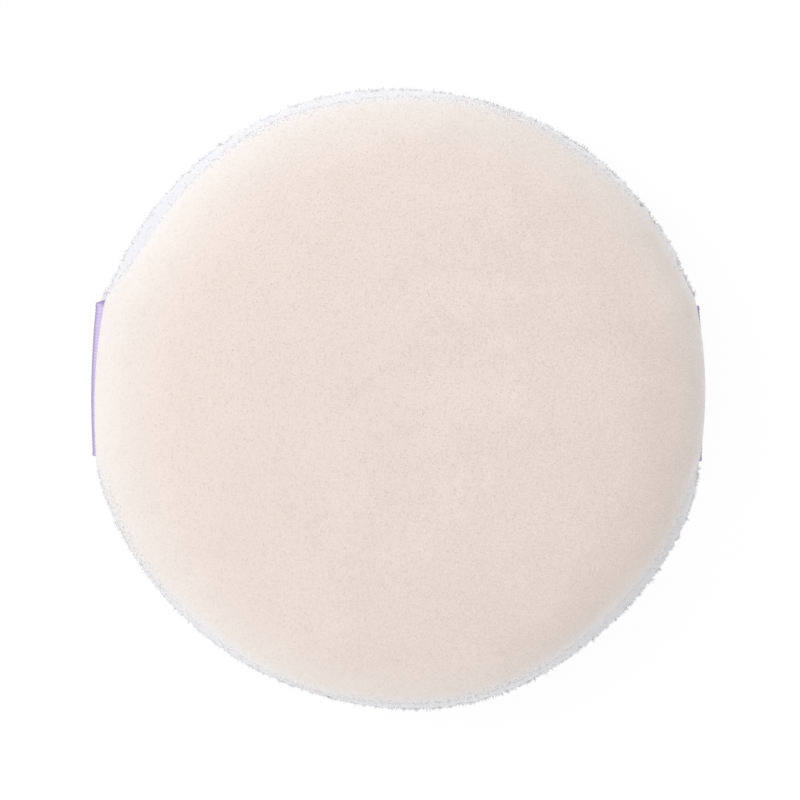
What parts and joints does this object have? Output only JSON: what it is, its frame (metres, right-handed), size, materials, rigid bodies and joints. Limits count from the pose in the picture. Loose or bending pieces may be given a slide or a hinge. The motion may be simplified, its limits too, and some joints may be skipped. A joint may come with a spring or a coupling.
{
  "type": "powder puff",
  "caption": "Round double-sided powder puff: cream velour face, white plush back and a lilac satin ribbon finger band across the back.",
  "frame": {"origin": "on the surface that the puff lies on, below the centre of its outline, at the underside of the ribbon", "axes": "+Z out of the cream face, +X to the right and +Y to the top of the face as pictured; the ribbon runs along X"},
  "size_m": [0.0792, 0.08, 0.016],
  "materials": {
    "cream_velour": "short cream velour pile, matt",
    "white_plush": "longer white plush pile, matt",
    "foam": "open-cell polyurethane foam",
    "lilac_satin": "single-face satin ribbon, silky",
    "thread": "spun polyester sewing thread"
  },
  "bodies": {
    "band": {"ribbon_band": "lilac_satin"},
    "puff": {"front_cover": "cream_velour", "back_cover": "white_plush", "foam_core": "foam", "ribbon_left": "lilac_satin", "ribbon_right": "lilac_satin", "seam_thread": "thread", "closing_thread": "thread"}
  },
  "joints": [
    {"name": "finger_gap", "type": "slide", "parent": "band", "child": "puff", "axis": [0, 0, 1], "range_m": [0, 0.008], "deforming": ["ribbon_left", "ribbon_right"]}
  ]
}
